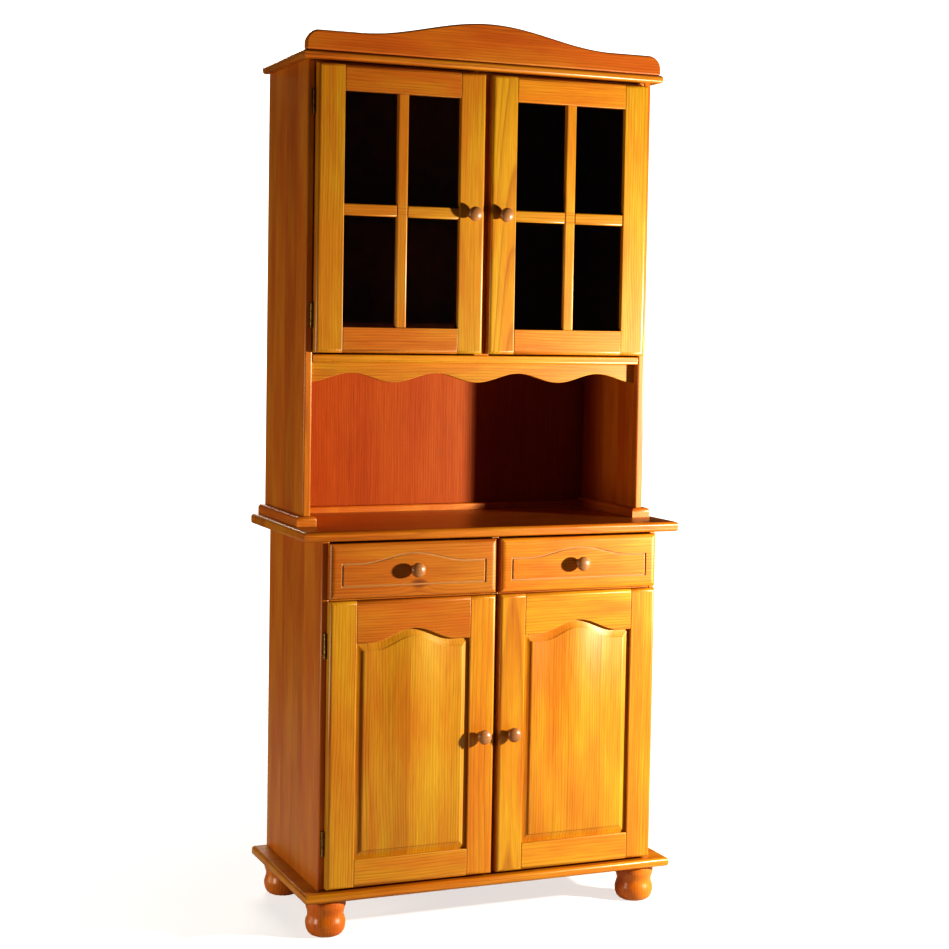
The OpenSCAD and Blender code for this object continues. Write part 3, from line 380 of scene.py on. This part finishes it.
# ---------------------------------------------------------------- other finishes
def metal(name, light, dark, base_rough):
    made, net, shader = new_material(name)
    m = net.math
    place = net.node("ShaderNodeTexCoord").outputs["Object"]
    x, y, z = net.split(place)
    cloud = net.noise(net.join(*(m("MULTIPLY", a, 160.0) for a in (x, y, z))), 4.0, 0.6)
    brush = net.noise(net.join(m("MULTIPLY", x, 2400.0), m("MULTIPLY", y, 2400.0),
                               m("MULTIPLY", z, 60.0)), 2.0)
    edge_wear_and_highlight, soft = edge_mask(net, 0.8 * MM)
    colour = net.ramp(cloud, [(0.35, dark), (0.65, light)])
    colour = net.blend(m("MULTIPLY", edge_wear_and_highlight, 0.5), colour, (*(min(1, c * 1.4) for c in light), 1))
    net.link(colour, shader.inputs["Base Color"])
    net.link(m("ADD", base_rough, m("MULTIPLY", cloud, 0.22)), shader.inputs["Roughness"])
    bump = net.node("ShaderNodeBump", {"Height": brush, "Normal": soft,
                                       "Strength": 0.15, "Distance": 0.1 * MM})
    net.link(bump.outputs[0], shader.inputs["Normal"])
    shader.inputs["Metallic"].default_value = 1.0
    return made


def smoked_glass(name):
    made, net, shader = new_material(name)
    m = net.math
    place = net.node("ShaderNodeTexCoord").outputs["Object"]
    ripple = net.node("ShaderNodeTexNoise", {"Vector": place, "Scale": 9.0, "Detail": 1.0})
    smear = net.node("ShaderNodeTexNoise", {"Vector": place, "Scale": 26.0, "Detail": 4.0})
    tint = net.ramp(smear.outputs["Fac"], [(0.35, (0.32, 0.30, 0.29)), (0.7, (0.38, 0.36, 0.345))])
    net.link(tint, shader.inputs["Base Color"])
    net.link(m("MULTIPLY", smear.outputs["Fac"], 0.05), shader.inputs["Roughness"])
    bump = net.node("ShaderNodeBump", {"Height": ripple.outputs["Fac"],
                                       "Strength": 0.03, "Distance": 1 * MM})
    net.link(bump.outputs[0], shader.inputs["Normal"])
    shader.inputs["Transmission Weight"].default_value = 1.0
    shader.inputs["IOR"].default_value = 1.5
    return made


def nylon(name):
    made, net, shader = new_material(name)
    place = net.node("ShaderNodeTexCoord").outputs["Object"]
    cloud = net.node("ShaderNodeTexNoise", {"Vector": place, "Scale": 240.0, "Detail": 3.0})
    tint = net.ramp(cloud.outputs["Fac"], [(0.3, (0.52, 0.47, 0.39)), (0.7, (0.64, 0.59, 0.50))])
    net.link(tint, shader.inputs["Base Color"])
    net.link(net.span(cloud.outputs["Fac"], 0.3, 0.7, 0.38, 0.55), shader.inputs["Roughness"])
    edge_wear_and_highlight, soft = edge_mask(net, 0.8 * MM)
    bump = net.node("ShaderNodeBump", {"Height": cloud.outputs["Fac"], "Normal": soft,
                                       "Strength": 0.1, "Distance": 0.1 * MM})
    net.link(bump.outputs[0], shader.inputs["Normal"])
    return made


# ---------------------------------------------------------------- CAD nodes
GLUED = 78 * MM


def soften(obj, width, segments=2):
    """Rounds the sharp edges of a CAD node without moving it."""
    weld = obj.modifiers.new("weld", "WELD")
    weld.merge_threshold = 0.01 * MM
    flat = obj.modifiers.new("flat", "DECIMATE")
    flat.decimate_type = "DISSOLVE"
    flat.angle_limit = math.radians(0.8)
    bevel = obj.modifiers.new("soft_edges", "BEVEL")
    bevel.width = width
    bevel.segments = segments
    bevel.limit_method = "ANGLE"
    bevel.angle_limit = math.radians(38)
    bevel.use_clamp_overlap = True
    bevel.harden_normals = True


def smooth_turning(obj):
    """One smooth skin over a turned part, its creases lightly rounded."""
    weld = obj.modifiers.new("weld", "WELD")
    weld.merge_threshold = 0.01 * MM
    bevel = obj.modifiers.new("soft_edges", "BEVEL")
    bevel.width = 0.6 * MM
    bevel.segments = 2
    bevel.limit_method = "ANGLE"
    bevel.angle_limit = math.radians(40)
    obj.modifiers.new("even", "WEIGHTED_NORMAL")


def dress(name, material, round_to=1.2 * MM, turned=False):
    obj = nodes[name]
    obj.data.materials.clear()
    obj.data.materials.append(material)
    if turned:
        smooth_turning(obj)
    elif round_to:
        soften(obj, round_to)


# ---------------------------------------------------------------- routed line
LINE_FLOOR = 0.4 * MM
LINE_DEPTH = 3 * MM
LINE_INSET = 21 * MM
# Faces this near the middle belong to the bore of the knob.
KNOB_REACH = 8 * MM


def paint_routed_line(name, material):
    """Paints the walls and floor of the routed line lighter, a painted highlight standing in for light
    caught in the groove.
    """
    obj = nodes[name]
    low, high = (Vector(p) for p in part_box(name))
    obj.data.materials.append(material)
    for face in obj.data.polygons:
        x, y, z = face.center
        inside = low.x + LINE_INSET < x < high.x - LINE_INSET
        inside = inside and low.z + LINE_INSET < z < high.z - LINE_INSET
        beside, above = x - (low.x + high.x) / 2, z - (low.z + high.z) / 2
        on_knob = abs(beside) < KNOB_REACH and abs(above) < KNOB_REACH
        if inside and not on_knob and low.y + LINE_FLOOR < y < low.y + LINE_DEPTH:
            face.material_index = 1


BAR_HALF = 13.2 * MM
BACK_STRIP = 310 * MM
PANEL_STRIP = 92 * MM


def bar_band():
    """Height and half height of the cross bar of the glazed doors."""
    low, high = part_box("upper_left_bars")
    return (low[2] + high[2]) / 2, BAR_HALF


def dress_frame():
    seeds = random.Random(11)

    def wood(name, *args, round_to=1.2 * MM, turned=False, **kwargs):
        dress(name, pine(name, *args, seed=round(seeds.uniform(1, 60), 2), **kwargs),
              round_to, turned)

    wood("base_board", "X", "front")
    wood("bun_feet", "Z", "deep", turned=True)
    for side in ("left", "right"):
        wood(f"lower_{side}_side", "Z", "carcass", GLUED, "Y")
        wood(f"upper_{side}_side", "Z", "carcass", GLUED, "Y")
    wood("lower_back_panel", "Z", "sheet", BACK_STRIP, "X", round_to=0)
    wood("upper_back_panel", "Z", "sheet", BACK_STRIP, "X", round_to=0)
    wood("lower_divider", "Z", "inside", GLUED, "Y")
    wood("drawer_rails", "X", "carcass")
    wood("drawer_runners", "Y", "inside")
    wood("lower_shelves", "X", "inside", GLUED, "Y")
    wood("upper_shelf", "X", "inside", GLUED, "Y")
    wood("worktop", "X", "front", GLUED, "Y")
    wood("hutch_base_rails", "Y", "carcass")
    wood("ledge_board", "X", "front", GLUED, "Y")
    wood("apron", "X", "front")
    wood("upper_post", "Z", "carcass")
    wood("hutch_top_board", "X", "inside", GLUED, "Y")
    wood("cornice", "X", "front", GLUED, "Y")
    wood("crest", "X", "front", round_to=4.5 * MM)
    for side in ("left", "right"):
        wood(f"upper_{side}_stiles", "Z")
        wood(f"upper_{side}_rails", "X")
        wood(f"upper_{side}_bars", "Z", band=bar_band(), round_to=2.5 * MM)
        wood(f"upper_{side}_knob", "Y", "knob", turned=True)
        wood(f"lower_{side}_hinge_stile", "Z")
        wood(f"lower_{side}_lock_stile", "Z")
        wood(f"lower_{side}_top_rail", "X")
        wood(f"lower_{side}_bottom_rail", "X")
        wood(f"lower_{side}_knob", "Y", "knob", turned=True)
        wood(f"{side}_drawer_front", "X", "front", round_to=1.0 * MM)
        wood(f"{side}_drawer_sides", "Y", "inside")
        wood(f"{side}_drawer_back", "X", "inside")
        wood(f"{side}_drawer_bottom", "X", "sheet", round_to=0)
        wood(f"{side}_drawer_knob", "Y", "knob", turned=True)
        # The routed line gets the lighter look, a painted highlight.
        paint_routed_line(f"{side}_drawer_front", pine(f"{side}_line", "X", "line_highlight", seed=3.0))
    brass = metal("aged_brass", (0.42, 0.27, 0.10), (0.16, 0.09, 0.035), 0.30)
    steel = metal("plain_steel", (0.62, 0.61, 0.59), (0.42, 0.41, 0.40), 0.24)
    glass = smoked_glass("smoked_glass")
    catch = nylon("catch_nylon")
    for name in ("hinge_fixed_leaves", "upper_left_hinges", "upper_right_hinges",
                 "lower_left_hinges", "lower_right_hinges"):
        dress(name, brass, 0)
    dress("shelf_pins", steel, 0)
    dress("door_catches", catch, 0.4 * MM)
    for side in ("left", "right"):
        dress(f"upper_{side}_glass", glass, 0)


# ---------------------------------------------------------------- raised panels
TONGUE = 7.5 * MM
TONGUE_BACK = 6 * MM
PANEL_PLAY = 0.8 * MM
BEVEL_W = 17 * MM
ARCH_RISE = 27 * MM
ARCH_HALF = 100 * MM
ARCH_POINTS = 96


def arch(x):
    return math.cos(math.pi * x / 2 / ARCH_HALF) ** 2 if abs(x) < ARCH_HALF else 0.0


def panel_profile(front, back):
    """Section of a raised panel: (growth beyond the opening, depth)."""
    edge = back - TONGUE_BACK
    rise = edge - front
    step = 1.6 * MM
    profile = [(TONGUE, back), (TONGUE, edge), (-PANEL_PLAY, edge)]
    for i in range(1, 9):
        t = i / 8
        curve = t ** 1.25
        profile.append((-PANEL_PLAY - (BEVEL_W - PANEL_PLAY) * t, edge - (rise - step) * curve))
    profile += [(-BEVEL_W - 0.4 * MM, front + 0.35 * MM), (-BEVEL_W - 1.3 * MM, front)]
    return profile


def raised_panel(side):
    node = f"lower_{side}_panel"
    low, high = (Vector(p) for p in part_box(node))
    mid_x = (low.x + high.x) / 2
    half = (high.x - low.x) / 2 - TONGUE
    foot = low.z + TONGUE
    shoulder = high.z - TONGUE - ARCH_RISE
    profile = panel_profile(low.y, high.y)
    count = ARCH_POINTS + 1
    verts, faces = [], []
    for grow, depth in profile:
        ring = []
        for i in range(count):
            t = 2 * i / ARCH_POINTS - 1
            ring.append((mid_x + (half + grow) * t, depth, foot - grow))
        for i in reversed(range(count)):
            t = 2 * i / ARCH_POINTS - 1
            ring.append((mid_x + (half + grow) * t, depth,
                         shoulder + grow + ARCH_RISE * arch(half * t)))
        verts += ring
    size = 2 * count
    for k in range(len(profile) - 1):
        for i in range(size):
            a, b = k * size + i, k * size + (i + 1) % size
            faces.append((a, b, b + size, a + size))
    last = (len(profile) - 1) * size
    for i in range(count - 1):
        faces.append((i + 1, i, size - 1 - i, size - 2 - i))
        faces.append((last + i, last + i + 1, last + size - 2 - i, last + size - 1 - i))
    mesh = bpy.data.meshes.new(f"raised_panel_{side}")
    mesh.from_pydata(verts, [], faces)
    mesh.update()
    panel = bpy.data.objects.new(f"raised_panel_{side}", mesh)
    bpy.context.collection.objects.link(panel)
    mesh.polygons.foreach_set("use_smooth", [True] * len(mesh.polygons))
    mesh.set_sharp_from_angle(angle=math.radians(25))
    mesh.materials.append(pine(f"raised_panel_{side}", "Z", "front", PANEL_STRIP, "X",
                               seed=31.7 if side == "left" else 12.9))
    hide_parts(node)
    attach(panel, f"lower_{side}_door")


# ---------------------------------------------------------------- floor
FLOOR_R = 6.0
FLOOR_CLEAR_FROM, FLOOR_GONE_AT = 0.6, 3.4
FLOOR_COVER = 0.55


def add_floor():
    count, rings = 96, 24
    verts = [(0, 0, 0)]
    for r in range(1, rings + 1):
        for i in range(count):
            a = 2 * math.pi * i / count
            verts.append((FLOOR_R * r / rings * math.cos(a), FLOOR_R * r / rings * math.sin(a), 0))
    faces = [(0, 1 + i, 1 + (i + 1) % count) for i in range(count)]
    for r in range(rings - 1):
        for i in range(count):
            a, b = 1 + r * count + i, 1 + r * count + (i + 1) % count
            faces.append((a, a + count, b + count, b))
    mesh = bpy.data.meshes.new("floor")
    mesh.from_pydata(verts, [], faces)
    floor = bpy.data.objects.new("floor", mesh)
    bpy.context.collection.objects.link(floor)
    made, net, shader = new_material("floor_white")
    place = net.node("ShaderNodeTexCoord").outputs["Object"]
    x, y, _ = net.split(place)
    m = net.math
    radius = m("SQRT", m("ADD", m("MULTIPLY", x, x), m("MULTIPLY", y, y)))
    shader.inputs["Base Color"].default_value = (0.92, 0.91, 0.90, 1)
    shader.inputs["Roughness"].default_value = 0.75
    shader.inputs["Emission Color"].default_value = (1, 0.99, 0.97, 1)
    shader.inputs["Emission Strength"].default_value = 0.10
    net.link(net.span(radius, FLOOR_CLEAR_FROM, FLOOR_GONE_AT, FLOOR_COVER, 0.0), shader.inputs["Alpha"])
    mesh.materials.append(made)


PINE = pine_group()
add_camera()
add_lights()
dress_frame()
for panel_side in ("left", "right"):
    raised_panel(panel_side)
add_floor()
bpy.context.scene.view_settings.view_transform = "Standard"
bpy.context.scene.view_settings.look = "High Contrast"
